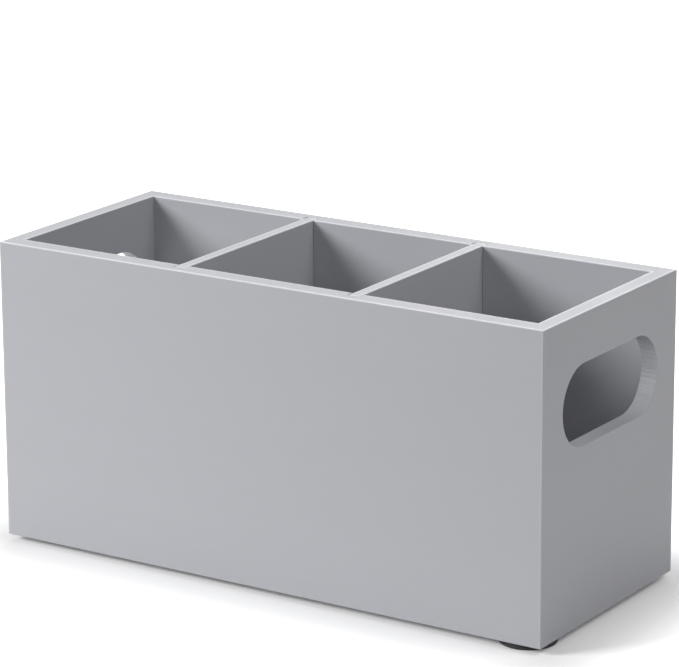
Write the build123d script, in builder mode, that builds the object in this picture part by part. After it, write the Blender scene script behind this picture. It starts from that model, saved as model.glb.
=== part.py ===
"""Silverware caddy: an open painted wooden box with three equal compartments, two divider
boards that lift out of grooves, a hand slot in each end and four stick-on rubber feet.

Lengths are millimetres. The caddy stands on Z = 0 with the origin under its middle:
+X runs along its length to the right, +Y to the back and +Z up.
"""

import os

from build123d import *

# Wooden box, outside, without its feet
BOX_LENGTH = 260.0
BOX_WIDTH = 107.5
BOX_HEIGHT = 128.0

# Thickness of each board
SIDE_THICKNESS = 8.5
END_THICKNESS = 7.3
BOTTOM_THICKNESS = 5.0
DIVIDER_THICKNESS = 5.1

# Rabbets that the end boards and the bottom board are glued into
CORNER_RABBET_DEPTH = 4.0
BOTTOM_RABBET_DEPTH = 4.0
BOTTOM_CLEARANCE = 0.1

# Grooves that the dividers drop into
GROOVE_DEPTH = 4.0
DIVIDER_SIDE_CLEARANCE = 0.25
DIVIDER_END_CLEARANCE = 0.4

# Edges that were sanded round before painting
EDGE_EASE = 0.4
HANDLE_EASE = 0.4
DIVIDER_EASE = 0.4

# Hand slot in each end, a long hole with round ends
HANDLE_LENGTH = 76.3
HANDLE_HEIGHT = 33.6
HANDLE_BELOW_RIM = 37.2

# Rubber feet, and the adhesive disc that holds each one
FOOT_DIAMETER = 23.4
FOOT_THICKNESS = 2.4
FOOT_EASE = 0.6
ADHESIVE_THICKNESS = 0.3

# Middle of each foot from the end and from the side; they are stuck on by hand
FOOT_INSETS = {
    ("front", "left"): (14.5, 18.4),
    ("front", "right"): (13.0, 13.0),
    ("back", "left"): (15.0, 16.5),
    ("back", "right"): (16.0, 14.0),
}

# Headless pins across the corner joints, filled and painted over
PIN_DIAMETER = 0.8
PIN_LENGTH = 12.0
PIN_SET = 0.8
PIN_MARGIN = 16.0
PINS_PER_CORNER = 3

# Brads that go up through the bottom board into the walls
BRAD_DIAMETER = 1.2
BRAD_LENGTH = 15.0
BRAD_HEAD_DIAMETER = 2.2
BRAD_HEAD_HEIGHT = 0.8
BRAD_END_SPACING = 30.0

# Room round each pin and brad in its hole
NAIL_CLEARANCE = 0.02

# Heights worked out from the sizes above
BOX_BASE = FOOT_THICKNESS + ADHESIVE_THICKNESS
FLOOR_TOP = BOX_BASE + BOTTOM_THICKNESS
RIM = BOX_BASE + BOX_HEIGHT
COMPARTMENT_DEPTH = RIM - FLOOR_TOP
HANDLE_CENTRE = RIM - HANDLE_BELOW_RIM

# Inside of the box
INNER_LENGTH = BOX_LENGTH - 2 * END_THICKNESS
INNER_WIDTH = BOX_WIDTH - 2 * SIDE_THICKNESS
COMPARTMENT_LENGTH = (INNER_LENGTH - 2 * DIVIDER_THICKNESS) / 3
DIVIDER_OFFSET = (COMPARTMENT_LENGTH + DIVIDER_THICKNESS) / 2
COMPARTMENT_PITCH = COMPARTMENT_LENGTH + DIVIDER_THICKNESS

# Middles of the boards, and the ends' size between the rabbets
SIDE_CENTRE = (BOX_WIDTH - SIDE_THICKNESS) / 2
END_CENTRE = (BOX_LENGTH - END_THICKNESS) / 2
END_WIDTH = INNER_WIDTH + 2 * CORNER_RABBET_DEPTH
LEDGE_LENGTH = INNER_LENGTH + 2 * BOTTOM_RABBET_DEPTH
LEDGE_WIDTH = INNER_WIDTH + 2 * BOTTOM_RABBET_DEPTH
DIVIDER_WIDTH = INNER_WIDTH + 2 * (GROOVE_DEPTH - DIVIDER_END_CLEARANCE)

# Adhesive discs as wide as the flat top of a foot
ADHESIVE_DIAMETER = FOOT_DIAMETER - 2 * FOOT_EASE

# Where the pins and the brads are
PIN_CENTRE = BOX_WIDTH / 2 - PIN_SET - PIN_LENGTH / 2
PIN_STEP = (BOX_HEIGHT - 2 * PIN_MARGIN) / (PINS_PER_CORNER - 1)
PIN_HEIGHTS = [BOX_BASE + PIN_MARGIN + PIN_STEP * i for i in range(PINS_PER_CORNER)]
BRAD_SIDE_Y = (INNER_WIDTH + BOTTOM_RABBET_DEPTH) / 2
BRAD_END_X = (INNER_LENGTH + BOTTOM_RABBET_DEPTH) / 2
BRAD_PLACES = [
    (step * COMPARTMENT_PITCH, side * BRAD_SIDE_Y) for side in (-1, 1) for step in (-1, 0, 1)
] + [(end * BRAD_END_X, row * BRAD_END_SPACING / 2) for end in (-1, 1) for row in (-1, 1)]

SIDES = {"front": -1, "back": 1}
ENDS = {"left": -1, "right": 1}

os.makedirs("parts", exist_ok=True)


def save(part, name):
    """Label a finished piece and write its STEP file."""
    part.label = name
    export_step(part, f"parts/{name}.step")


def pin_places(side, end):
    """Middles of the pins at one corner of the box."""
    return [(end * END_CENTRE, side * PIN_CENTRE, height) for height in PIN_HEIGHTS]


def cut_pin_holes(side, end):
    """Holes for the pins at one corner, cut from the board in the open builder."""
    with Locations(*pin_places(side, end)):
        Cylinder(
            PIN_DIAMETER / 2 + NAIL_CLEARANCE,
            PIN_LENGTH + 2 * NAIL_CLEARANCE,
            rotation=(90, 0, 0),
            mode=Mode.SUBTRACT,
        )


def cut_brad_holes():
    """Holes for the brads, cut from the board in the open builder."""
    with BuildSketch(Plane.XY.offset(BOX_BASE)) as holes:
        with Locations(*BRAD_PLACES):
            Circle(BRAD_DIAMETER / 2 + NAIL_CLEARANCE)
    extrude(holes.sketch, amount=BRAD_LENGTH + NAIL_CLEARANCE, mode=Mode.SUBTRACT)


def cut_ledge():
    """Rabbet for the bottom board, cut from the board in the open builder."""
    with BuildSketch(Plane.XY.offset(BOX_BASE)) as ledge:
        Rectangle(LEDGE_LENGTH, LEDGE_WIDTH)
    extrude(ledge.sketch, amount=BOTTOM_THICKNESS, mode=Mode.SUBTRACT)


# Whole box as one sanded block: it trims each wall to the same round edges
with BuildPart() as sanded_box:
    with BuildSketch(Plane.XY.offset(BOX_BASE)):
        Rectangle(BOX_LENGTH, BOX_WIDTH)
    extrude(amount=BOX_HEIGHT)
    fillet(sanded_box.edges(), radius=EDGE_EASE)
    with BuildSketch(Plane.XY.offset(FLOOR_TOP)):
        Rectangle(INNER_LENGTH, INNER_WIDTH)
    extrude(amount=COMPARTMENT_DEPTH, mode=Mode.SUBTRACT)
    rim_face = sanded_box.faces().sort_by(Axis.Z)[-1]
    fillet(rim_face.inner_wires()[0].edges(), radius=EDGE_EASE)


def side_panel(side):
    """Front or back wall: rabbeted at both ends and below, with a groove for each divider."""
    inner_face = side * INNER_WIDTH / 2
    with BuildPart() as panel:
        with BuildSketch(Plane.XY.offset(BOX_BASE)):
            with Locations((0, side * SIDE_CENTRE)):
                Rectangle(BOX_LENGTH, SIDE_THICKNESS)
            with Locations(*[(end * END_CENTRE, 0) for end in ENDS.values()]):
                Rectangle(END_THICKNESS, END_WIDTH, mode=Mode.SUBTRACT)
        extrude(amount=BOX_HEIGHT)
        cut_ledge()
        with BuildSketch(Plane.XY.offset(FLOOR_TOP)):
            with Locations(*[(end * DIVIDER_OFFSET, inner_face) for end in ENDS.values()]):
                Rectangle(DIVIDER_THICKNESS + 2 * DIVIDER_SIDE_CLEARANCE, 2 * GROOVE_DEPTH)
        extrude(amount=COMPARTMENT_DEPTH, mode=Mode.SUBTRACT)
        for end in ENDS.values():
            cut_pin_holes(side, end)
        cut_brad_holes()
        add(sanded_box.part, mode=Mode.INTERSECT)
    return panel.part


def end_panel(end):
    """Left or right wall, let into the front and back walls, with the hand slot through it."""
    outer_face = Plane.YZ.offset(end * BOX_LENGTH / 2)
    with BuildPart() as panel:
        with BuildSketch(Plane.XY.offset(BOX_BASE)):
            with Locations((end * END_CENTRE, 0)):
                Rectangle(END_THICKNESS, END_WIDTH)
        extrude(amount=BOX_HEIGHT)
        cut_ledge()
        for side in SIDES.values():
            cut_pin_holes(side, end)
        cut_brad_holes()
        add(sanded_box.part, mode=Mode.INTERSECT)
        with BuildSketch(outer_face):
            with Locations((0, HANDLE_CENTRE)):
                SlotOverall(HANDLE_LENGTH, HANDLE_HEIGHT)
        extrude(amount=-end * END_THICKNESS, mode=Mode.SUBTRACT)
        walls = panel.faces().filter_by(Axis.X).sort_by(SortBy.AREA)[-2:]
        slot_edges = [edge for wall in walls for edge in wall.inner_wires()[0].edges()]
        fillet(slot_edges, radius=HANDLE_EASE)
    return panel.part


def divider(end):
    """Board between two compartments, loose in its grooves and standing on the bottom."""
    with BuildPart() as board:
        with BuildSketch(Plane.XY.offset(FLOOR_TOP)):
            with Locations((end * DIVIDER_OFFSET, 0)):
                Rectangle(DIVIDER_THICKNESS, DIVIDER_WIDTH)
        extrude(amount=COMPARTMENT_DEPTH)
        top = board.faces().sort_by(Axis.Z)[-1]
        fillet(top.edges().filter_by(Axis.Y), radius=DIVIDER_EASE)
    return board.part


def corner_pins(side, end):
    """The pins that hold one corner of the box."""
    with BuildPart() as pins:
        with Locations(*pin_places(side, end)):
            Cylinder(PIN_DIAMETER / 2, PIN_LENGTH, rotation=(90, 0, 0))
    return pins.part


def foot_place(side_name, end_name):
    """Middle of one foot."""
    from_end, from_side = FOOT_INSETS[side_name, end_name]
    x = ENDS[end_name] * (BOX_LENGTH / 2 - from_end)
    y = SIDES[side_name] * (BOX_WIDTH / 2 - from_side)
    return x, y


def adhesive(place):
    """Double-sided disc between a foot and the underside."""
    with BuildPart() as disc:
        with BuildSketch(Plane.XY.offset(FOOT_THICKNESS)):
            with Locations(place):
                Circle(ADHESIVE_DIAMETER / 2)
        extrude(amount=ADHESIVE_THICKNESS)
    return disc.part


def foot(place):
    """Flat rubber disc with rounded edges."""
    with BuildPart() as disc:
        with BuildSketch(Plane.XY):
            with Locations(place):
                Circle(FOOT_DIAMETER / 2)
        extrude(amount=FOOT_THICKNESS)
        fillet(disc.edges().filter_by(GeomType.CIRCLE), radius=FOOT_EASE)
    return disc.part


# Walls
for side_name, side in SIDES.items():
    save(side_panel(side), f"{side_name}_panel")
for end_name, end in ENDS.items():
    save(end_panel(end), f"{end_name}_end_panel")

# Bottom board, flush with the walls' lower edges
with BuildPart() as bottom_panel:
    with BuildSketch(Plane.XY.offset(BOX_BASE)):
        Rectangle(LEDGE_LENGTH - 2 * BOTTOM_CLEARANCE, LEDGE_WIDTH - 2 * BOTTOM_CLEARANCE)
    extrude(amount=BOTTOM_THICKNESS)
    cut_brad_holes()
    with BuildSketch(Plane.XY.offset(BOX_BASE)):
        with Locations(*BRAD_PLACES):
            Circle(BRAD_HEAD_DIAMETER / 2 + NAIL_CLEARANCE)
    extrude(amount=BRAD_HEAD_HEIGHT, mode=Mode.SUBTRACT)
save(bottom_panel.part, "bottom_panel")

# Dividers
for end_name, end in ENDS.items():
    save(divider(end), f"{end_name}_divider")

# Nails
for side_name, side in SIDES.items():
    for end_name, end in ENDS.items():
        save(corner_pins(side, end), f"{side_name}_{end_name}_corner_pins")

with BuildPart() as bottom_brads:
    with BuildSketch(Plane.XY.offset(BOX_BASE)):
        with Locations(*BRAD_PLACES):
            Circle(BRAD_HEAD_DIAMETER / 2)
    extrude(amount=BRAD_HEAD_HEIGHT)
    with BuildSketch(Plane.XY.offset(BOX_BASE)):
        with Locations(*BRAD_PLACES):
            Circle(BRAD_DIAMETER / 2)
    extrude(amount=BRAD_LENGTH)
save(bottom_brads.part, "bottom_brads")

# Feet
for side_name in SIDES:
    for end_name in ENDS:
        place = foot_place(side_name, end_name)
        save(adhesive(place), f"{side_name}_{end_name}_foot_adhesive")
        save(foot(place), f"{side_name}_{end_name}_foot")
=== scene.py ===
"""Looks of a painted wooden silverware caddy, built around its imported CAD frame.

Lengths are metres and the axes are the frame's: +X along the caddy to the right, +Y to the
back and +Z up, with the caddy standing on Z = 0 under its middle.
"""

import logging
import math
from collections.abc import Callable
from dataclasses import dataclass
from enum import Enum
from functools import reduce

import bmesh
import bpy
from mathutils import Matrix, Vector

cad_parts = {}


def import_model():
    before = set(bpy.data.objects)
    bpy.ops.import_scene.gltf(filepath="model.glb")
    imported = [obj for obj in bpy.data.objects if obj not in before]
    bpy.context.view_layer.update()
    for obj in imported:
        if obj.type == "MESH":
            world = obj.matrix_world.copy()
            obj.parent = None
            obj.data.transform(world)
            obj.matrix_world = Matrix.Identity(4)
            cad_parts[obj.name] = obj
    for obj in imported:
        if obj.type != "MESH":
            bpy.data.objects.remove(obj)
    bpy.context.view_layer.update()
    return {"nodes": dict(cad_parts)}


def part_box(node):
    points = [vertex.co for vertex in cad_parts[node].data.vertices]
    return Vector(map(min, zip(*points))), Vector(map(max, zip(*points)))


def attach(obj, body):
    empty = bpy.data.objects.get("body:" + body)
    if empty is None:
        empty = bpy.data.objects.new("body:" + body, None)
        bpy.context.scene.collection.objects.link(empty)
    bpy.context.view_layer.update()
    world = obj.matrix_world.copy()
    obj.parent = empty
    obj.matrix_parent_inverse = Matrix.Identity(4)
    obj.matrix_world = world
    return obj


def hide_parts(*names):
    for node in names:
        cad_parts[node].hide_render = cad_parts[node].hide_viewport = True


logging.basicConfig(level=logging.INFO, format="%(name)s: %(message)s")
log = logging.getLogger("silverware_caddy")

Colour = tuple[float, float, float]
Point = tuple[float, float, float]
Span = tuple[float, float]
Socket = bpy.types.NodeSocket
Finder = Callable[[str], Socket]
# Heights and spots of a mesh that are closer than these are the same
SAME_LEVEL = 1e-6
SAME_SPOT = 1e-5
# A face is level where its normal's upright part is over this
LEVEL_FACE = 0.9
WHITE: Colour = (1.0, 1.0, 1.0)
ORIGIN: Point = (0.0, 0.0, 0.0)


class Body(Enum):
    """Bodies of the frame that pieces ride on."""

    CADDY = "caddy"
    LEFT_DIVIDER = "left_divider"
    RIGHT_DIVIDER = "right_divider"


class Slot(Enum):
    """Names of the record's material slots for the rubber and the steel."""

    FOOT_RUBBER = "foot_rubber"
    NAIL_STEEL = "nail_steel"


class GrainRun(Enum):
    """Direction of a board's grain, as repeats of its figure per metre along each axis."""

    ALONG_LENGTH = (9.0, 420.0, 420.0)
    ALONG_WIDTH = (420.0, 9.0, 420.0)


class Pick(Enum):
    """Parts of a mesh that can be selected in edit mode."""

    EDGE = "EDGE"
    FACE = "FACE"


class NodeTree:
    """A material's or a group's nodes, with short calls to add and join them."""

    def __init__(self, tree: bpy.types.NodeTree) -> None:
        """Starts from an existing tree."""
        self.tree = tree

    def add(self, kind: str, **settings: object) -> bpy.types.Node:
        """Adds one node and sets its properties.

        Args:
            kind: Blender's name for the node type.
            **settings: Properties of the node, by name.

        Returns:
            The new node.
        """
        node = self.tree.nodes.new(kind)
        for name, value in settings.items():
            setattr(node, name, value)
        return node

    def feed(self, target: Socket, value: object) -> None:
        """Links a socket to an input, or writes a plain value there.

        Args:
            target: The input socket.
            value: An output socket, a number or a vector.
        """
        if isinstance(value, bpy.types.NodeSocket):
            self.tree.links.new(value, target)
        else:
            target.default_value = value

    def maths(self, operation: str, *values: object, kind: str = "ShaderNodeMath") -> Socket:
        """Adds a Math node.

        Args:
            operation: The node's operation.
            *values: Sockets, numbers or vectors, in order.
            kind: Blender's name for the node type.

        Returns:
            The result's socket.
        """
        node = self.add(kind, operation=operation)
        for target, value in zip(node.inputs, values):
            self.feed(target, value)
        return node.outputs[0]

    def vector_maths(self, operation: str, *values: object) -> Socket:
        """Adds a Vector Math node that gives a vector."""
        return self.maths(operation, *values, kind="ShaderNodeVectorMath")

    def most(self, *values: Socket) -> Socket:
        """Takes the highest of several values."""
        return reduce(lambda one, other: self.maths("MAXIMUM", one, other), values)

    def scaled(self, vector: object, factor: object) -> Socket:
        """Scales a vector or colour by a number.

        Args:
            vector: A socket or a vector.
            factor: A socket or a number.

        Returns:
            The result's socket.
        """
        node = self.add("ShaderNodeVectorMath", operation="SCALE")
        self.feed(node.inputs[0], vector)
        self.feed(node.inputs["Scale"], factor)
        return node.outputs["Vector"]

    def parts(self, vector: Socket) -> list[Socket]:
        """Splits a vector.

        Args:
            vector: The vector's socket.

        Returns:
            The sockets of its x, y and z.
        """
        node = self.add("ShaderNodeSeparateXYZ")
        self.feed(node.inputs[0], vector)
        return list(node.outputs)

    def between(
        self, value: object, low: object, high: object, start: float = 0.0, end: float = 1.0
    ) -> Socket:
        """Maps a value smoothly from one range to another.

        Args:
            value: The value's socket.
            low: Where the range starts.
            high: Where the range ends.
            start: The result at or below low.
            end: The result at or above high.

        Returns:
            The result's socket.
        """
        node = self.add("ShaderNodeMapRange", interpolation_type="SMOOTHSTEP")
        names = ("Value", "From Min", "From Max", "To Min", "To Max")
        for name, given in zip(names, (value, low, high, start, end)):
            self.feed(node.inputs[name], given)
        return node.outputs["Result"]

    def noise(self, point: object, scale: object, detail: float, roughness: float = 0.5) -> Socket:
        """Adds a noise texture.

        Args:
            point: The place's socket.
            scale: Repeats per metre.
            detail: Number of finer layers.
            roughness: Strength of the finer layers.

        Returns:
            The noise value's socket, from 0 to 1.
        """
        node = self.add("ShaderNodeTexNoise")
        self.feed(node.inputs["Vector"], point)
        self.feed(node.inputs["Scale"], scale)
        node.inputs["Detail"].default_value = detail
        node.inputs["Roughness"].default_value = roughness
        return node.outputs[0]

    def both_ways(self, value: Socket) -> Socket:
        """Stretches a value from 0 to 1 into one from -1 to 1."""
        return self.maths("MULTIPLY_ADD", value, 2.0, -1.0)

    def layered(self, start: float, *layers: tuple[Socket, float]) -> Socket:
        """Adds layers to a value that is even all over.

        Args:
            start: The even value.
            *layers: Each layer's socket, and how much a layer of 1 adds.

        Returns:
            The sum's socket.
        """
        total = start
        for layer, amount in layers:
            total = self.maths("MULTIPLY_ADD", layer, amount, total)
        return total


@dataclass(frozen=True)
class Port:
    """A named input of an effect, which is a vector where it starts as one."""

    name: str
    start: float | Point = 0.0

    @property
    def kind(self) -> str:
        """Blender's name for the type of socket."""
        return "NodeSocketVector" if isinstance(self.start, tuple) else "NodeSocketFloat"


PLACE = Port("Point", ORIGIN)


class GroupNodes(NodeTree):
    """The nodes inside an effect, with its inputs and outputs."""

    def __init__(self, tree: bpy.types.NodeTree) -> None:
        """Adds the nodes where values come in and go out.

        Args:
            tree: The group's tree, with its sockets made.
        """
        super().__init__(tree)
        self.entry = self.add("NodeGroupInput")
        self.leaving = self.add("NodeGroupOutput")
        self.point = self.get(PLACE.name)

    def get(self, name: str) -> Socket:
        """Finds an input of the effect."""
        return self.entry.outputs[name]

    def give(self, name: str, value: Socket) -> None:
        """Feeds an output of the effect."""
        self.feed(self.leaving.inputs[name], value)


class Surface(NodeTree):
    """A new material's nodes, with its shader and the place on the piece."""

    def __init__(self, name: str) -> None:
        """Starts a material.

        Args:
            name: The material's name.
        """
        self.material = bpy.data.materials.new(name)
        self.material.use_nodes = True
        super().__init__(self.material.node_tree)
        self.shader = self.tree.nodes["Principled BSDF"]
        self.point = self.add("ShaderNodeTexCoord").outputs["Object"]

    def coat(self, colour: Colour, tone: Socket, gloss: Socket, height: Socket) -> bpy.types.Material:
        """Feeds the shader with what changes over the surface.

        Args:
            colour: The plain colour.
            tone: What the colour is multiplied by.
            gloss: The roughness.
            height: The relief in metres.

        Returns:
            The finished material.
        """
        self.feed(self.shader.inputs["Base Color"], self.scaled(colour, tone))
        self.feed(self.shader.inputs["Roughness"], gloss)
        relief = self.add("ShaderNodeBump")
        relief.inputs["Distance"].default_value = 1.0
        self.feed(relief.inputs["Height"], height)
        self.feed(self.shader.inputs["Normal"], relief.outputs["Normal"])
        return self.material


class Effect:
    """A shader node group that materials share, built at its first use.

    Its first input is the place on the piece, and takes holds the others.
    """

    title: str = ""
    takes: tuple[Port, ...] = ()
    gives: tuple[str, ...] = ()

    def wire(self, nodes: GroupNodes) -> None:
        """Makes the nodes inside the group."""
        raise NotImplementedError

    def group(self) -> bpy.types.NodeTree:
        """Builds the group once.

        Returns:
            The group, new or as built before.
        """
        if self.title in bpy.data.node_groups:
            return bpy.data.node_groups[self.title]
        made = bpy.data.node_groups.new(self.title, "ShaderNodeTree")
        for port in (PLACE, *self.takes):
            socket = made.interface.new_socket(port.name, in_out="INPUT", socket_type=port.kind)
            socket.default_value = port.start
        for name in self.gives:
            made.interface.new_socket(name, in_out="OUTPUT", socket_type="NodeSocketFloat")
        self.wire(GroupNodes(made))
        return made

    def place(self, nodes: Surface, values: dict[str, object]) -> Finder:
        """Puts the group into a material, at the place on its piece.

        Args:
            nodes: The material's nodes.
            values: Sockets or plain values for the group's other inputs, by name.

        Returns:
            A function that finds an output of the group by name.
        """
        node = nodes.add("ShaderNodeGroup", node_tree=self.group())
        for name, value in {PLACE.name: nodes.point, **values}.items():
            nodes.feed(node.inputs[name], value)
        return node.outputs.__getitem__


class BoxArris(Effect):
    """Mask along a box's edges, for rubbed paint and a painted highlight: wider over its top than down its
    sides.
    """

    title = "box_arris"
    takes = (
        Port("Centre", ORIGIN),
        Port("Half Size", ORIGIN),
        Port("Upright Edges"),
        Port("Steepness", 3.0),
        Port("Reach"),
    )
    gives = ("Mask",)

    def wire(self, nodes: GroupNodes) -> None:
        """Makes the mask from the distance to the nearest edge.

        Args:
            nodes: The group's nodes.
        """
        offset = nodes.vector_maths("SUBTRACT", nodes.point, nodes.get("Centre"))
        from_middle = nodes.vector_maths("ABSOLUTE", offset)
        beyond = nodes.vector_maths("SUBTRACT", from_middle, nodes.get("Half Size"))
        x, y, z = nodes.parts(nodes.vector_maths("ABSOLUTE", beyond))
        past_x, past_y, _ = nodes.parts(nodes.vector_maths("MAXIMUM", beyond, ORIGIN))
        down = nodes.maths("MULTIPLY", z, nodes.get("Steepness"))
        across = nodes.most(x, down, past_y)
        along = nodes.most(y, down, past_x)
        level = nodes.maths("MINIMUM", across, along)
        left_out = nodes.maths("SUBTRACT", 1.0, nodes.get("Upright Edges"))
        upright = nodes.maths("ADD", nodes.most(x, y), left_out)
        nearest = nodes.maths("MINIMUM", level, upright)
        nodes.give("Mask", nodes.between(nearest, 0.0, nodes.get("Reach"), 1.0, 0.0))


class SlotArris(Effect):
    """Masks for the hand slots, which run through the ends along X: their rims and their walls."""

    title = "slot_arris"
    takes = tuple(map(Port, ("Half Straight", "Radius", "Height", "Outer Face", "Inner Face", "Reach")))
    gives = ("Mask", "Wall")
    wall_fade: Span = (0.0001, 0.0006)

    def wire(self, nodes: GroupNodes) -> None:
        """Makes the masks from the slot's outline and the board's two faces.

        Args:
            nodes: The group's nodes.
        """
        x, y, z = nodes.parts(nodes.point)
        beyond = nodes.maths("SUBTRACT", nodes.maths("ABSOLUTE", y), nodes.get("Half Straight"))
        across = nodes.maths("MAXIMUM", beyond, 0.0)
        above = nodes.maths("SUBTRACT", z, nodes.get("Height"))
        rise = nodes.maths("MULTIPLY", above, above)
        square = nodes.maths("MULTIPLY_ADD", across, across, rise)
        out = nodes.maths("SUBTRACT", nodes.maths("SQRT", square), nodes.get("Radius"))
        off_wall = nodes.maths("ABSOLUTE", out)
        along = nodes.maths("ABSOLUTE", x)
        outer = nodes.maths("ABSOLUTE", nodes.maths("SUBTRACT", along, nodes.get("Outer Face")))
        inner = nodes.maths("ABSOLUTE", nodes.maths("SUBTRACT", along, nodes.get("Inner Face")))
        nearest = nodes.most(off_wall, nodes.maths("MINIMUM", outer, inner))
        nodes.give("Mask", nodes.between(nearest, 0.0, nodes.get("Reach"), 1.0, 0.0))
        nodes.give("Wall", nodes.between(off_wall, *self.wall_fade, 1.0, 0.0))


class EndGrain(Effect):
    """Fine lines where a cut through an end board, along X, crosses its grain."""

    title = "end_grain"
    takes = (Port("Normal", ORIGIN), Port("Repeats", 1200.0))
    gives = ("Lines",)
    drawn_out: Point = (0.05, 0.3, 1.0)
    ring_range: Span = (0.40, 0.62)
    square_range: Span = (0.45, 0.9)

    def wire(self, nodes: GroupNodes) -> None:
        """Makes lines that run on through the board, strongest where the cut is square to the grain.

        Args:
            nodes: The group's nodes.
        """
        drawn = nodes.vector_maths("MULTIPLY", nodes.point, self.drawn_out)
        rings = nodes.between(nodes.noise(drawn, nodes.get("Repeats"), 2.0, 0.6), *self.ring_range)
        square = nodes.maths("ABSOLUTE", nodes.parts(nodes.get("Normal"))[1])
        crossed = nodes.between(square, *self.square_range)
        nodes.give("Lines", nodes.maths("MULTIPLY", rings, crossed))


class OrangePeel(Effect):
    """Fine unevenness of a sprayed surface."""

    title = "orange_peel"
    takes = (Port("Repeats"),)
    gives = ("Height",)
    finer: float = 3.7
    fine_share: float = 0.25
    dimple_range: Span = (0.3, 0.7)

    def wire(self, nodes: GroupNodes) -> None:
        """Makes rounded dimples under a finer layer.

        Args:
            nodes: The group's nodes.
        """
        broad = nodes.noise(nodes.point, nodes.get("Repeats"), 1.0)
        fine = nodes.noise(nodes.point, nodes.maths("MULTIPLY", nodes.get("Repeats"), self.finer), 2.0)
        rounded = nodes.between(broad, *self.dimple_range)
        nodes.give("Height", nodes.maths("MULTIPLY_ADD", fine, self.fine_share, rounded))


class BoardGrain(Effect):
    """Wood grain that shows faintly through paint: long pores and slow changes of tone."""

    title = "board_grain"
    takes = (Port("Run", ORIGIN),)
    gives = ("Pores", "Tone")
    sway_repeats: float = 22.0
    wander: Point = (0.0012, 0.0012, 0.0012)
    pore_range: Span = (0.34, 0.5)
    broader: float = 0.12

    def wire(self, nodes: GroupNodes) -> None:
        """Makes long noise that wanders a little across its run.

        Args:
            nodes: The group's nodes.
        """
        sway = nodes.noise(nodes.point, self.sway_repeats, 1.0)
        wander = nodes.scaled(self.wander, nodes.maths("SUBTRACT", sway, 0.5))
        swayed = nodes.vector_maths("ADD", nodes.point, wander)
        figure = nodes.vector_maths("MULTIPLY", swayed, nodes.get("Run"))
        streaks = nodes.noise(figure, 1.0, 3.0, 0.6)
        nodes.give("Pores", nodes.between(streaks, *self.pore_range, 1.0, 0.0))
        nodes.give("Tone", nodes.both_ways(nodes.noise(nodes.scaled(figure, self.broader), 1.0, 2.0)))


class Mottle(Effect):
    """Slow change of tone over a surface, from -1 to 1."""

    title = "mottle"
    takes = (Port("Repeats"),)
    gives = ("Tone",)

    def wire(self, nodes: GroupNodes) -> None:
        """Makes soft clouds."""
        clouds = nodes.noise(nodes.point, nodes.get("Repeats"), 3.0, 0.45)
        nodes.give("Tone", nodes.both_ways(clouds))


class SettledDust(Effect):
    """Thin dust on faces that look up."""

    title = "settled_dust"
    takes = (Port("Normal", ORIGIN), Port("Repeats"))
    gives = ("Mask",)
    level_range: Span = (0.75, 0.98)
    speck_range: Span = (0.55, 0.78)
    cloud_repeats: float = 30.0
    cloud_range: Span = (0.35, 0.75)
    cloud_cover: Span = (0.15, 0.6)

    def wire(self, nodes: GroupNodes) -> None:
        """Makes specks and clouds where the normal points up.

        Args:
            nodes: The group's nodes.
        """
        level = nodes.between(nodes.parts(nodes.get("Normal"))[2], *self.level_range)
        grit = nodes.noise(nodes.point, nodes.get("Repeats"), 3.0, 0.7)
        specks = nodes.between(grit, *self.speck_range)
        patches = nodes.noise(nodes.point, self.cloud_repeats, 3.0)
        clouds = nodes.between(patches, *self.cloud_range, *self.cloud_cover)
        nodes.give("Mask", nodes.maths("MULTIPLY", nodes.most(specks, clouds), level))


class Scuffs(Effect):
    """Thin rubbed streaks, long along one axis."""

    title = "scuffs"
    takes = (Port("Run", ORIGIN), Port("Rarity"))
    gives = ("Mask",)
    patch_repeats: float = 120.0
    patch_share: float = 0.3
    softness: float = 0.12

    def wire(self, nodes: GroupNodes) -> None:
        """Makes streaks that come and go.

        Args:
            nodes: The group's nodes.
        """
        drawn = nodes.vector_maths("MULTIPLY", nodes.point, nodes.get("Run"))
        streaks = nodes.noise(drawn, 1.0, 2.0, 0.6)
        patches = nodes.noise(nodes.point, self.patch_repeats, 2.0)
        streaked = nodes.maths("MULTIPLY", streaks, 1.0 - self.patch_share)
        strength = nodes.maths("MULTIPLY_ADD", patches, self.patch_share, streaked)
        top = nodes.maths("ADD", nodes.get("Rarity"), self.softness)
        nodes.give("Mask", nodes.between(strength, nodes.get("Rarity"), top))


class OpenPores(Effect):
    """Small round pits, as in foam tape or the grain of moulded rubber."""

    title = "open_pores"
    takes = (Port("Repeats"), Port("Opening"))
    gives = ("Pits", "Shade")

    def wire(self, nodes: GroupNodes) -> None:
        """Makes round cells, each with its own shade.

        Args:
            nodes: The group's nodes.
        """
        cells = nodes.add("ShaderNodeTexVoronoi")
        nodes.feed(cells.inputs["Vector"], nodes.point)
        nodes.feed(cells.inputs["Scale"], nodes.get("Repeats"))
        pits = nodes.between(cells.outputs["Distance"], 0.0, nodes.get("Opening"), 1.0, 0.0)
        nodes.give("Pits", pits)
        split = nodes.add("ShaderNodeSeparateColor")
        nodes.feed(split.inputs[0], cells.outputs["Color"])
        nodes.give("Shade", split.outputs[0])


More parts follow.
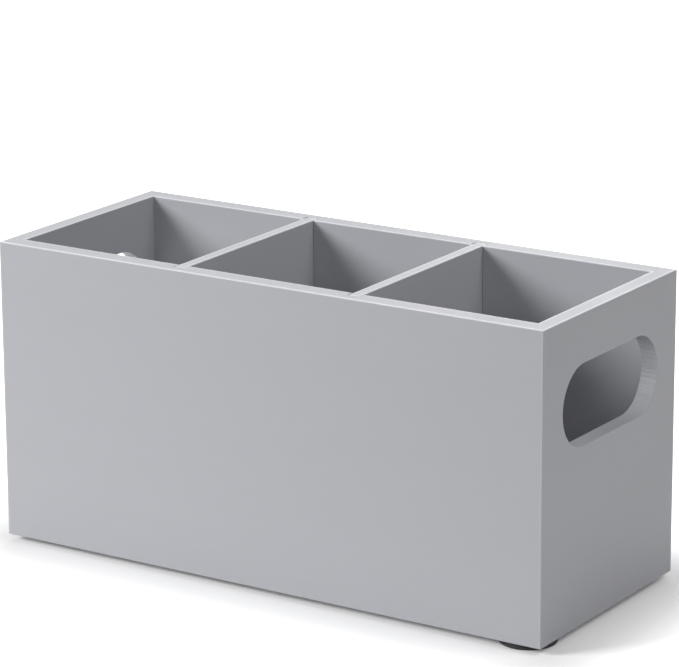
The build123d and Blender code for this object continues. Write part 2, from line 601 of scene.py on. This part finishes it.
@dataclass(frozen=True)
class CaddySizes:
    """The caddy's main sizes, read from the frame, and the few that a box can't give."""

    length: float
    width: float
    base: float
    rim: float
    side_board: float
    end_board: float
    divider_spacing: float
    slot_length: float = 0.0763
    slot_height: float = 0.0336
    slot_below_rim: float = 0.0372
    rabbet: float = 0.004
    brad_end_spacing: float = 0.030

    @classmethod
    def from_frame(cls) -> "CaddySizes":
        """Reads the boards' boxes.

        Returns:
            The caddy's sizes.
        """
        front_low, front_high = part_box("front_panel")
        back_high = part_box("back_panel")[1]
        end_low, end_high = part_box("right_end_panel")
        return cls(
            length=front_high[0] - front_low[0],
            width=back_high[1] - front_low[1],
            base=front_low[2],
            rim=front_high[2],
            side_board=front_high[1] - front_low[1],
            end_board=end_high[0] - end_low[0],
            divider_spacing=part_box("right_divider")[0][0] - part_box("left_divider")[0][0],
        )

    @property
    def inner_length(self) -> float:
        """Length of the inside."""
        return self.length - 2 * self.end_board

    @property
    def inner_width(self) -> float:
        """Width of the inside."""
        return self.width - 2 * self.side_board


@dataclass(frozen=True)
class Arris:
    """Edges of one box that a paint finish lightens, as rubbed paint and painted highlight, by a strength
    from 0 to 1.
    """

    centre: Point
    half_size: Point
    upright_edges: bool
    strength: float


@dataclass(frozen=True)
class PaintFinish:
    """Sprayed satin paint over wood, with the board's grain faintly under it."""

    name: str
    grain: GrainRun
    arrises: tuple[Arris, ...]
    slots_of: CaddySizes | None = None
    colour: Colour = (0.455, 0.461, 0.490)
    roughness: float = 0.42
    specular: float = 0.35
    cloud_repeats: float = 26.0
    cloud_tone: float = 0.010
    cloud_gloss: float = 0.025
    grain_tone: float = 0.008
    pore_tone: float = -0.006
    pore_depth: float = 0.0000060
    peel_repeats: float = 620.0
    peel_depth: float = 0.0000035
    # The edges are lightened partly as rubbed paint and partly as a painted highlight along the arrises
    wear_and_highlight_reach: float = 0.0015
    wear_and_highlight_lift: float = 0.65
    wear_gloss: float = -0.15
    slot_reach: float = 0.00075
    slot_wear_and_highlight: float = 0.15
    dust_repeats: float = 1400.0
    dust_lift: float = 0.03
    dust_gloss: float = 0.10
    line_tone: float = -0.12
    line_depth: float = 0.00004

    def slot(self, nodes: Surface) -> Finder:
        """Places the masks of the hand slots.

        Args:
            nodes: The material's nodes.

        Returns:
            A function that finds the rims' or the walls' mask by name.
        """
        sizes = self.slots_of
        values = {
            "Half Straight": (sizes.slot_length - sizes.slot_height) / 2,
            "Radius": sizes.slot_height / 2,
            "Height": sizes.rim - sizes.slot_below_rim,
            "Outer Face": sizes.length / 2,
            "Inner Face": sizes.inner_length / 2,
            "Reach": self.slot_reach,
        }
        return SlotArris().place(nodes, values)

    def wear_and_highlight(self, nodes: Surface, *masks: Socket) -> Socket:
        """Joins the masks of all edges that this board has, where it is lightened as rubbed paint and painted
        highlight.

        Args:
            nodes: The material's nodes.
            *masks: Masks of edges that aren't a box's.

        Returns:
            The joined mask's socket.
        """
        for arris in self.arrises:
            values = {
                "Centre": arris.centre,
                "Half Size": arris.half_size,
                "Upright Edges": float(arris.upright_edges),
                "Reach": self.wear_and_highlight_reach,
            }
            edges = BoxArris().place(nodes, values)("Mask")
            masks = (*masks, nodes.maths("MULTIPLY", edges, arris.strength))
        return nodes.most(*masks)

    def material(self) -> bpy.types.Material:
        """Builds the paint.

        Returns:
            The new material.
        """
        nodes = Surface(self.name)
        normal = nodes.add("ShaderNodeNewGeometry").outputs["Normal"]
        clouds = Mottle().place(nodes, {"Repeats": self.cloud_repeats})("Tone")
        grain = BoardGrain().place(nodes, {"Run": self.grain.value})
        peel = OrangePeel().place(nodes, {"Repeats": self.peel_repeats})("Height")
        dust = SettledDust().place(nodes, {"Normal": normal, "Repeats": self.dust_repeats})("Mask")
        slot = self.slot(nodes) if self.slots_of else None
        # The hand slots' rims are lightened as rubbed paint and painted highlight too
        rims = [nodes.maths("MULTIPLY", slot("Mask"), self.slot_wear_and_highlight)] if slot else []
        # Edge mask of rubbed paint and painted highlight: it lightens the colour and lowers the roughness
        wear_and_highlight = self.wear_and_highlight(nodes, *rims)
        tones = [
            (clouds, self.cloud_tone),
            (grain("Tone"), self.grain_tone),
            (grain("Pores"), self.pore_tone),
            (wear_and_highlight, self.wear_and_highlight_lift),
            (dust, self.dust_lift),
        ]
        glosses = [(clouds, self.cloud_gloss), (wear_and_highlight, self.wear_gloss), (dust, self.dust_gloss)]
        heights = [(peel, self.peel_depth), (grain("Pores"), -self.pore_depth)]
        if slot:
            cut = EndGrain().place(nodes, {"Normal": normal})("Lines")
            lines = nodes.maths("MULTIPLY", cut, slot("Wall"))
            tones.append((lines, self.line_tone))
            heights.append((lines, -self.line_depth))
        nodes.shader.inputs["Specular IOR Level"].default_value = self.specular
        tone = nodes.layered(1.0, *tones)
        gloss = nodes.layered(self.roughness, *glosses)
        return nodes.coat(self.colour, tone, gloss, nodes.layered(0.0, *heights))


@dataclass(frozen=True)
class RubberFinish:
    """Matte black moulded rubber, lightly scuffed from front to back."""

    name: str = "moulded_rubber"
    colour: Colour = (0.016, 0.016, 0.017)
    roughness: float = 0.62
    grain_depth: float = 0.000012
    bloom_tone: float = 0.18
    bloom_gloss: float = 0.05
    scuffed: float = 0.7
    scuffed_gloss: float = 0.1

    def material(self) -> bpy.types.Material:
        """Builds the rubber.

        Returns:
            The new material.
        """
        nodes = Surface(self.name)
        grain = OpenPores().place(nodes, {"Repeats": 3200.0, "Opening": 0.8})
        bloom = Mottle().place(nodes, {"Repeats": 240.0})("Tone")
        rubbed = Scuffs().place(nodes, {"Run": (900.0, 160.0, 900.0), "Rarity": 0.56})("Mask")
        tone = nodes.layered(1.0, (bloom, self.bloom_tone), (rubbed, self.scuffed))
        gloss = nodes.layered(self.roughness, (bloom, self.bloom_gloss), (rubbed, self.scuffed_gloss))
        return nodes.coat(self.colour, tone, gloss, nodes.layered(0.0, (grain("Pits"), self.grain_depth)))


@dataclass(frozen=True)
class FoamTapeFinish:
    """Pale double-sided foam tape with cut open pores, darkened in the pits as painted shade."""

    name: str = "foam_tape"
    colour: Colour = (0.70, 0.69, 0.64)
    roughness: float = 0.85
    cloud_tone: float = 0.06
    # Painted shade inside the open pores
    pore_tone: float = -0.35
    pore_gloss: float = 0.1
    pore_depth: float = 0.00003

    def material(self) -> bpy.types.Material:
        """Builds the foam.

        Returns:
            The new material.
        """
        nodes = Surface(self.name)
        pores = OpenPores().place(nodes, {"Repeats": 5200.0, "Opening": 0.45})
        clouds = Mottle().place(nodes, {"Repeats": 300.0})("Tone")
        tone = nodes.layered(1.0, (clouds, self.cloud_tone), (pores("Pits"), self.pore_tone))
        gloss = nodes.layered(self.roughness, (pores("Shade"), self.pore_gloss))
        return nodes.coat(self.colour, tone, gloss, nodes.layered(0.0, (pores("Pits"), -self.pore_depth)))


@dataclass(frozen=True)
class NailSteelFinish:
    """Bright drawn wire with fine draw lines and a little tarnish."""

    name: str = "drawn_wire_steel"
    colour: Colour = (0.58, 0.58, 0.57)
    roughness: float = 0.34
    tarnish: float = -0.45
    tarnish_gloss: float = 0.25
    tarnish_range: Span = (0.0, 0.5)
    line_gloss: float = 0.12
    line_depth: float = 0.000004

    def material(self) -> bpy.types.Material:
        """Builds the steel.

        Returns:
            The new material.
        """
        nodes = Surface(self.name)
        nodes.shader.inputs["Metallic"].default_value = 1.0
        lines = Scuffs().place(nodes, {"Run": (9000.0, 9000.0, 300.0), "Rarity": 0.42})("Mask")
        spots = Mottle().place(nodes, {"Repeats": 1100.0})("Tone")
        dull = nodes.between(spots, *self.tarnish_range)
        tone = nodes.layered(1.0, (dull, self.tarnish))
        gloss = nodes.layered(self.roughness, (dull, self.tarnish_gloss), (lines, self.line_gloss))
        return nodes.coat(self.colour, tone, gloss, nodes.layered(0.0, (lines, self.line_depth)))


def dress(piece: bpy.types.Object, finish: bpy.types.Material) -> None:
    """Gives a piece one material.

    Args:
        piece: The piece, or a CAD node's object.
        finish: The material.
    """
    piece.data.materials.clear()
    piece.data.materials.append(finish)
    log.info("%s is finished in %s", piece.name, finish.name)


def take_up(*pieces: bpy.types.Object) -> None:
    """Selects pieces for an operator, and nothing else.

    Args:
        *pieces: The pieces, the active one first.
    """
    bpy.ops.object.select_all(action="DESELECT")
    for piece in pieces:
        piece.select_set(True)
    bpy.context.view_layer.objects.active = pieces[0]


class Bench:
    """Edit-mode work on one piece: parts are picked by place, then an operator shapes them."""

    def __init__(self, piece: bpy.types.Object) -> None:
        """Takes the piece to work on.

        Args:
            piece: A mesh object with no turn or scale, at the origin.
        """
        self.piece = piece

    def __enter__(self) -> "Bench":
        """Opens edit mode on this piece alone.

        Returns:
            This bench.
        """
        take_up(self.piece)
        bpy.ops.object.mode_set(mode="EDIT")
        return self

    def __exit__(self, *_: object) -> None:
        """Merges doubles, turns the faces outwards and closes edit mode."""
        bpy.ops.mesh.select_all(action="SELECT")
        bpy.ops.mesh.remove_doubles(threshold=SAME_LEVEL)
        bpy.ops.mesh.normals_make_consistent(inside=False)
        bpy.ops.object.mode_set(mode="OBJECT")

    def pick(self, kind: Pick, test: Callable[[Vector, Vector], bool]) -> None:
        """Selects edges or faces.

        Args:
            kind: What is selected.
            test: Says yes for a middle and a face's normal or an edge's direction.
        """
        bpy.ops.mesh.select_mode(type=kind.value)
        bpy.ops.mesh.select_all(action="DESELECT")
        mesh = bmesh.from_edit_mesh(self.piece.data)
        if kind is Pick.EDGE:
            for edge in mesh.edges:
                start, end = (vertex.co for vertex in edge.verts)
                edge.select_set(test((start + end) / 2, (end - start).normalized()))
        else:
            for face in mesh.faces:
                face.select_set(test(face.calc_center_median(), face.normal))
        bmesh.update_edit_mesh(self.piece.data)

    def extrude(self, rise: float) -> None:
        """Extrudes the selected face up, or down where rise is negative."""
        bpy.ops.mesh.extrude_region_move(TRANSFORM_OT_translate={"value": (0.0, 0.0, rise)})

    def widen(self, share: float, level: float) -> None:
        """Scales what is selected about the upright axis, at one height."""
        bpy.ops.transform.resize(value=(share, share, 1.0), center_override=(0.0, 0.0, level))


def finish_mesh(piece: bpy.types.Object, bevel: float, angle: float = 40.0) -> None:
    """Rounds the sharp edges of a modelled piece and shades it smooth.

    Args:
        piece: The piece, in object mode.
        bevel: Width of the small bevel on edges sharper than the angle.
        angle: Angle in degrees over which an edge counts as sharp.
    """
    take_up(piece)
    rounding = piece.modifiers.new("small_bevel", "BEVEL")
    rounding.width = bevel
    rounding.segments = 2
    rounding.limit_method = "ANGLE"
    rounding.angle_limit = math.radians(angle)
    bpy.ops.object.modifier_apply(modifier=rounding.name)
    bpy.ops.object.shade_smooth_by_angle(angle=math.radians(angle))


def add_disc(name: str, radius: float, low: float, high: float, sides: int) -> bpy.types.Object:
    """Adds an upright round disc over the origin, with its place in its mesh.

    Args:
        name: The piece's name.
        radius: The disc's radius.
        low: Height of its underside.
        high: Height of its top.
        sides: Number of flats round it.

    Returns:
        The new object.
    """
    bpy.ops.object.select_all(action="DESELECT")
    middle = (0.0, 0.0, (low + high) / 2)
    bpy.ops.mesh.primitive_cylinder_add(vertices=sides, radius=radius, depth=high - low, location=middle)
    piece = bpy.context.active_object
    piece.name = name
    piece.data.name = name
    bpy.ops.object.transform_apply(location=True, rotation=True, scale=True)
    return piece


def copy_to(piece: bpy.types.Object, name: str, place: tuple[float, float]) -> bpy.types.Object:
    """Copies a piece that was modelled over the origin, with a mesh of its own.

    Args:
        piece: The piece to copy.
        name: The copy's name.
        place: The copy's x and y.

    Returns:
        The copy.
    """
    twin = piece.copy()
    twin.data = piece.data.copy()
    twin.name = name
    twin.data.name = name
    twin.data.transform(Matrix.Translation((*place, 0.0)))
    bpy.context.scene.collection.objects.link(twin)
    return twin


@dataclass
class RubberFeet:
    """Four moulded stick-on feet: a flange, a shallow neck and a ringed tread underneath."""

    names: tuple[str, ...] = ("front_left_foot", "front_right_foot", "back_left_foot", "back_right_foot")
    sides: int = 96
    flange: float = 0.0007
    neck_depth: float = 0.0003
    neck_height: float = 0.0003
    shoulder: float = 0.00015
    edge_round: float = 0.0005
    edge_segments: int = 5
    top_round: float = 0.00022
    top_segments: int = 3
    small_bevel: float = 0.00008
    tread_width: float = 0.0020
    ring_width: float = 0.0011
    ring_gap: float = 0.0013
    ring_depth: float = 0.00028
    gate_radius: float = 0.0009

    def build(self) -> list[bpy.types.Object]:
        """Models one foot and copies it to the four corners.

        Returns:
            The four feet.
        """
        low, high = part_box(self.names[0])
        pattern = self.model((high[0] - low[0]) / 2, low[2], high[2])
        feet = []
        for name in self.names:
            low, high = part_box(name)
            middle = ((low[0] + high[0]) / 2, (low[1] + high[1]) / 2)
            foot = copy_to(pattern, f"{name}_moulded", middle)
            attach(foot, Body.CADDY.value)
            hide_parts(name)
            feet.append(foot)
        bpy.data.objects.remove(pattern, do_unlink=True)
        return feet

    def model(self, radius: float, low: float, high: float) -> bpy.types.Object:
        """Models a foot over the origin.

        Args:
            radius: Radius of the flange and the tread.
            low: Height of the tread's underside.
            high: Height of the top.

        Returns:
            The modelled foot.
        """
        level = high - self.flange
        foot = add_disc("foot_pattern", radius, level, high, self.sides)
        neck = radius - self.neck_depth
        rest = level - low - 2 * self.shoulder - self.neck_height
        steps = (
            (self.shoulder, neck / radius),
            (self.neck_height, 1.0),
            (self.shoulder, radius / neck),
            (rest, 1.0),
        )
        with Bench(foot) as bench:
            for drop, share in steps:
                self.pick_underside(bench, level)
                bench.extrude(-drop)
                level -= drop
                bench.widen(share, level)
            self.press_rings(bench, radius, low)
            self.round_edge(bench, low, radius, self.edge_round, self.edge_segments)
            self.round_edge(bench, high, radius, self.top_round, self.top_segments)
        finish_mesh(foot, self.small_bevel)
        return foot

    def pick_underside(self, bench: Bench, level: float) -> None:
        """Selects the middle face that lies at a height."""
        bench.pick(
            Pick.FACE,
            lambda middle, _: abs(middle.z - level) < SAME_LEVEL and middle.xy.length < SAME_SPOT,
        )

    def press_rings(self, bench: Bench, radius: float, low: float) -> None:
        """Presses rings and a gate mark into the tread.

        Args:
            bench: The open foot.
            radius: The tread's radius.
            low: Height of its underside.
        """
        level = low
        lift = self.ring_depth
        inset = self.tread_width
        while radius - inset > self.gate_radius:
            self.pick_underside(bench, level)
            bpy.ops.mesh.inset(thickness=inset, depth=0.0)
            bench.extrude(lift)
            level += lift
            radius -= inset
            inset = self.ring_gap if lift > 0 else self.ring_width
            lift = -lift

    def round_edge(self, bench: Bench, level: float, radius: float, width: float, segments: int) -> None:
        """Bevels the outer edge at one height.

        Args:
            bench: The open foot.
            level: The edge's height.
            radius: The edge's radius.
            width: The bevel's width.
            segments: The bevel's segments.
        """
        reach = radius * math.cos(math.pi / self.sides)
        bench.pick(
            Pick.EDGE,
            lambda at, _: abs(at.z - level) < SAME_LEVEL and abs(at.xy.length - reach) < SAME_SPOT,
        )
        bpy.ops.mesh.bevel(offset=width, segments=segments, affect="EDGES")


@dataclass
class BottomBrads:
    """Ten brads driven up through the bottom board, seen as small heads underneath."""

    sizes: CaddySizes
    sides: int = 20
    head_radius: float = 0.0011
    head_height: float = 0.0008
    shank_radius: float = 0.0006
    tip_length: float = 0.0018
    tip_share: float = 0.15
    dimple_inset: float = 0.00045
    dimple_depth: float = 0.00012
    dimple_share: float = 0.75
    small_bevel: float = 0.00005

    def places(self) -> list[tuple[float, float]]:
        """Works out where the brads go through the bottom board into the walls.

        Returns:
            Their x and y, three along each side and two along each end.
        """
        sizes = self.sizes
        side_row = (sizes.inner_width + sizes.rabbet) / 2
        end_row = (sizes.inner_length + sizes.rabbet) / 2
        step = sizes.divider_spacing
        along_sides = [(x, side * side_row) for side in (-1, 1) for x in (-step, 0.0, step)]
        along_ends = [(end * end_row, row * sizes.brad_end_spacing / 2) for end in (-1, 1) for row in (-1, 1)]
        return along_sides + along_ends

    def build(self) -> bpy.types.Object:
        """Models one brad, copies it to its places and joins the copies.

        Returns:
            All brads as one piece.
        """
        low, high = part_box("bottom_brads")
        pattern = self.model(low[2], high[2])
        brads = [copy_to(pattern, f"brad_{number}", place) for number, place in enumerate(self.places(), 1)]
        bpy.data.objects.remove(pattern, do_unlink=True)
        take_up(*brads)
        bpy.ops.object.join()
        joined = brads[0]
        joined.name = "brads_in_bottom_board"
        joined.data.name = joined.name
        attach(joined, Body.CADDY.value)
        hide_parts("bottom_brads")
        return joined

    def model(self, low: float, high: float) -> bpy.types.Object:
        """Models a brad over the origin.

        Args:
            low: Height of the head's face.
            high: Height of the point.

        Returns:
            The modelled brad.
        """
        neck = low + self.head_height
        brad = add_disc("brad_pattern", self.head_radius, low, neck, self.sides)
        with Bench(brad) as bench:
            bench.pick(Pick.FACE, lambda _, facing: facing.z > LEVEL_FACE)
            bpy.ops.mesh.inset(thickness=self.head_radius - self.shank_radius, depth=0.0)
            bench.extrude(high - neck - self.tip_length)
            bench.extrude(self.tip_length)
            bench.widen(self.tip_share, high)
            bench.pick(Pick.FACE, lambda _, facing: facing.z < -LEVEL_FACE)
            bpy.ops.mesh.inset(thickness=self.dimple_inset, depth=0.0)
            bench.extrude(self.dimple_depth)
            bench.widen(self.dimple_share, low)
        finish_mesh(brad, self.small_bevel)
        return brad


@dataclass
class WoodenBox:
    """The boards of the box, as the frame has them."""

    sizes: CaddySizes
    # Strengths of the edges' lightening, which is rubbed paint and painted highlight
    outer_rim_wear_and_highlight: float = 1.0
    inner_rim_wear_and_highlight: float = 0.8
    corner_wear_and_highlight: float = 0.15
    half_height: float = 0.5

    def arrises(self) -> tuple[Arris, ...]:
        """Works out the edges where the paint is lightened, as rubbed paint and as painted highlight.

        Returns:
            The rim's outer edges, its inner edges, and all outer edges of the box.
        """
        sizes = self.sizes
        outer = (sizes.length / 2, sizes.width / 2)
        inner = (sizes.inner_length / 2, sizes.inner_width / 2)
        # The rims' boxes are so high that only their upper edges are near the boards
        low = (0.0, 0.0, sizes.rim - self.half_height)
        middle = (0.0, 0.0, (sizes.base + sizes.rim) / 2)
        return (
            Arris(low, (*outer, self.half_height), False, self.outer_rim_wear_and_highlight),
            Arris(low, (*inner, self.half_height), False, self.inner_rim_wear_and_highlight),
            Arris(middle, (*outer, (sizes.rim - sizes.base) / 2), True, self.corner_wear_and_highlight),
        )

    def dress(self, nodes: dict[str, bpy.types.Object]) -> None:
        """Paints the boards, and gives the hidden pins their steel and the feet their tape.

        Args:
            nodes: The frame's nodes by name.
        """
        arrises = self.arrises()
        along = PaintFinish("paint_on_side_boards", GrainRun.ALONG_LENGTH, arrises).material()
        across = PaintFinish("paint_on_end_boards", GrainRun.ALONG_WIDTH, arrises, self.sizes).material()
        bottom = PaintFinish(
            "paint_on_bottom_board",
            GrainRun.ALONG_LENGTH,
            arrises,
            roughness=0.5,
            pore_depth=0.000016,
            dust_lift=0.06,
        ).material()
        steel = NailSteelFinish("pin_steel").material()
        foam = FoamTapeFinish().material()
        finishes = {
            "front_panel": along,
            "back_panel": along,
            "end_panel": across,
            "bottom_panel": bottom,
            "corner_pins": steel,
            "adhesive": foam,
        }
        for name, node in nodes.items():
            for ending, finish in finishes.items():
                if name.endswith(ending):
                    dress(node, finish)


@dataclass
class LiftOutDivider:
    """One of the boards between the compartments."""

    body: Body
    colour: Colour = (0.487, 0.493, 0.524)
    # Strength of the edges' lightening, which is rubbed paint and painted highlight
    edge_wear_and_highlight: float = 0.7

    def dress(self, nodes: dict[str, bpy.types.Object]) -> None:
        """Paints the divider, with edges lightened as wear and painted highlight, following its own box.

        Args:
            nodes: The frame's nodes by name.
        """
        low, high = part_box(self.body.value)
        centre = tuple((a + b) / 2 for a, b in zip(low, high))
        half_size = tuple((b - a) / 2 for a, b in zip(low, high))
        own = Arris(centre, half_size, True, self.edge_wear_and_highlight)
        name = f"paint_on_{self.body.value}"
        paint = PaintFinish(name, GrainRun.ALONG_WIDTH, (own,), colour=self.colour)
        dress(nodes[self.body.value], paint.material())


@dataclass(frozen=True)
class Viewpoint:
    """The camera, at the photograph's viewing angle."""

    place: Point = (0.7647, -1.1697, 0.4910)
    forward: Point = (-0.52514, 0.80670, -0.27105)
    up: Point = (-0.14317, 0.23021, 0.96255)
    lens_mm: float = 187.51
    sensor_mm: float = 36.0
    farthest: float = 50.0

    def build(self) -> None:
        """Makes the camera and gives it to the scene."""
        ahead = Vector(self.forward).normalized()
        right = ahead.cross(Vector(self.up)).normalized()
        above = right.cross(ahead)
        data = bpy.data.cameras.new("camera")
        data.lens = self.lens_mm
        data.sensor_width = self.sensor_mm
        data.clip_end = self.farthest
        camera = bpy.data.objects.new("camera", data)
        turn = Matrix((right, above, -ahead)).transposed()
        camera.matrix_world = Matrix.Translation(self.place) @ turn.to_4x4()
        bpy.context.scene.collection.objects.link(camera)
        bpy.context.scene.camera = camera


@dataclass(frozen=True)
class Softbox:
    """A square diffused lamp."""

    name: str
    place: Point
    size: float
    power: float
    aim: Point = (0.0, 0.0, 0.06)

    def build(self) -> None:
        """Makes the lamp, turned to what it lights."""
        data = bpy.data.lights.new(self.name, "AREA")
        data.shape = "SQUARE"
        data.size = self.size
        data.energy = self.power
        lamp = bpy.data.objects.new(self.name, data)
        towards = Vector(self.aim) - Vector(self.place)
        turn = towards.to_track_quat("-Z", "Y").to_matrix()
        lamp.matrix_world = Matrix.Translation(self.place) @ turn.to_4x4()
        bpy.context.scene.collection.objects.link(lamp)


@dataclass(frozen=True)
class Studio:
    """Plain soft light, and the white floor that the caddy stands on."""

    sizes: CaddySizes
    floor_size: float = 12.0
    floor_roughness: float = 0.95
    floor_seen: float = 0.95
    bounce_near: float = 0.80
    bounce_far: float = 0.20
    bounce_range: Span = (0.08, 0.35)
    glow_near: float = 0.08
    glow_far: float = 1.0
    glow_range: Span = (0.0, 0.066)
    world_seen: float = 1.0
    world_light: float = 0.03
    lamps: tuple[Softbox, ...] = (
        Softbox("key", place=(-0.95, -1.10, 0.78), size=0.6, power=20.9),
        Softbox("front_right", place=(0.90, -1.30, 0.90), size=1.0, power=4.1),
        Softbox("back", place=(-0.30, 1.50, 0.60), size=1.0, power=6.0),
        Softbox("back_left", place=(-0.90, 1.00, 1.00), size=1.0, power=5.2),
        Softbox("top_right", place=(0.90, 0.00, 1.20), size=0.9, power=6.7),
    )

    def seen(self, nodes: NodeTree) -> Socket:
        """Tells what the eye meets, straight or in a gloss, from what only lights the caddy.

        Args:
            nodes: The material's or world's nodes.

        Returns:
            A socket with 1 for camera, glossy and transmission rays, and 0 for the rest.
        """
        rays = nodes.add("ShaderNodeLightPath").outputs
        return nodes.most(rays["Is Camera Ray"], rays["Is Glossy Ray"], rays["Is Transmission Ray"])

    def away(self, nodes: Surface) -> Socket:
        """Measures how far a place on the floor lies from the caddy's sides.

        Args:
            nodes: The floor's nodes.

        Returns:
            The distance's socket, 0 under the caddy.
        """
        half_size = (self.sizes.length / 2, self.sizes.width / 2, 0.0)
        from_middle = nodes.vector_maths("ABSOLUTE", nodes.point)
        beyond = nodes.vector_maths("SUBTRACT", from_middle, half_size)
        length = nodes.add("ShaderNodeVectorMath", operation="LENGTH")
        nodes.feed(length.inputs[0], nodes.vector_maths("MAXIMUM", beyond, ORIGIN))
        return length.outputs["Value"]

    def floor(self) -> None:
        """Makes the floor: white where it is seen, but for the shadow close round the caddy.

        The light it throws back is that of a sheet of paper on a greyer table.
        """
        bpy.ops.object.select_all(action="DESELECT")
        bpy.ops.mesh.primitive_plane_add(size=self.floor_size, location=ORIGIN)
        floor = bpy.context.active_object
        floor.name = "floor"
        nodes = Surface("floor_white")
        seen = self.seen(nodes)
        away = self.away(nodes)
        bounce = nodes.between(away, *self.bounce_range, self.bounce_near, self.bounce_far)
        extra = nodes.maths("SUBTRACT", self.floor_seen, bounce)
        tone = nodes.maths("MULTIPLY_ADD", seen, extra, bounce)
        glow = nodes.between(away, *self.glow_range, self.glow_near, self.glow_far)
        shone = nodes.maths("MULTIPLY", seen, glow)
        inputs = nodes.shader.inputs
        nodes.feed(inputs["Base Color"], nodes.scaled(WHITE, tone))
        nodes.feed(inputs["Emission Color"], nodes.scaled(WHITE, shone))
        inputs["Emission Strength"].default_value = 1.0
        inputs["Roughness"].default_value = self.floor_roughness
        inputs["Specular IOR Level"].default_value = 0.0
        floor.data.materials.append(nodes.material)

    def surroundings(self) -> None:
        """Makes the world: white where it is seen, and softer as a light."""
        world = bpy.data.worlds.new("studio")
        bpy.context.scene.world = world
        world.use_nodes = True
        nodes = NodeTree(world.node_tree)
        background = world.node_tree.nodes["Background"]
        background.inputs["Color"].default_value = (*WHITE, 1.0)
        strength = nodes.layered(self.world_light, (self.seen(nodes), self.world_seen - self.world_light))
        nodes.feed(background.inputs["Strength"], strength)

    def build(self) -> None:
        """Makes the floor, the lamps and the world."""
        self.floor()
        self.surroundings()
        for lamp in self.lamps:
            lamp.build()
        bpy.context.scene.view_settings.view_transform = "Standard"


def main() -> None:
    """Builds the looks round the frame."""
    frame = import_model()
    sizes = CaddySizes.from_frame()
    Viewpoint().build()
    Studio(sizes).build()
    WoodenBox(sizes).dress(frame["nodes"])
    for body in (Body.LEFT_DIVIDER, Body.RIGHT_DIVIDER):
        LiftOutDivider(body).dress(frame["nodes"])
    rubber = RubberFinish().material()
    for foot in RubberFeet().build():
        dress(foot, rubber)
    dress(BottomBrads(sizes).build(), NailSteelFinish().material())


if __name__ == "__main__":
    main()
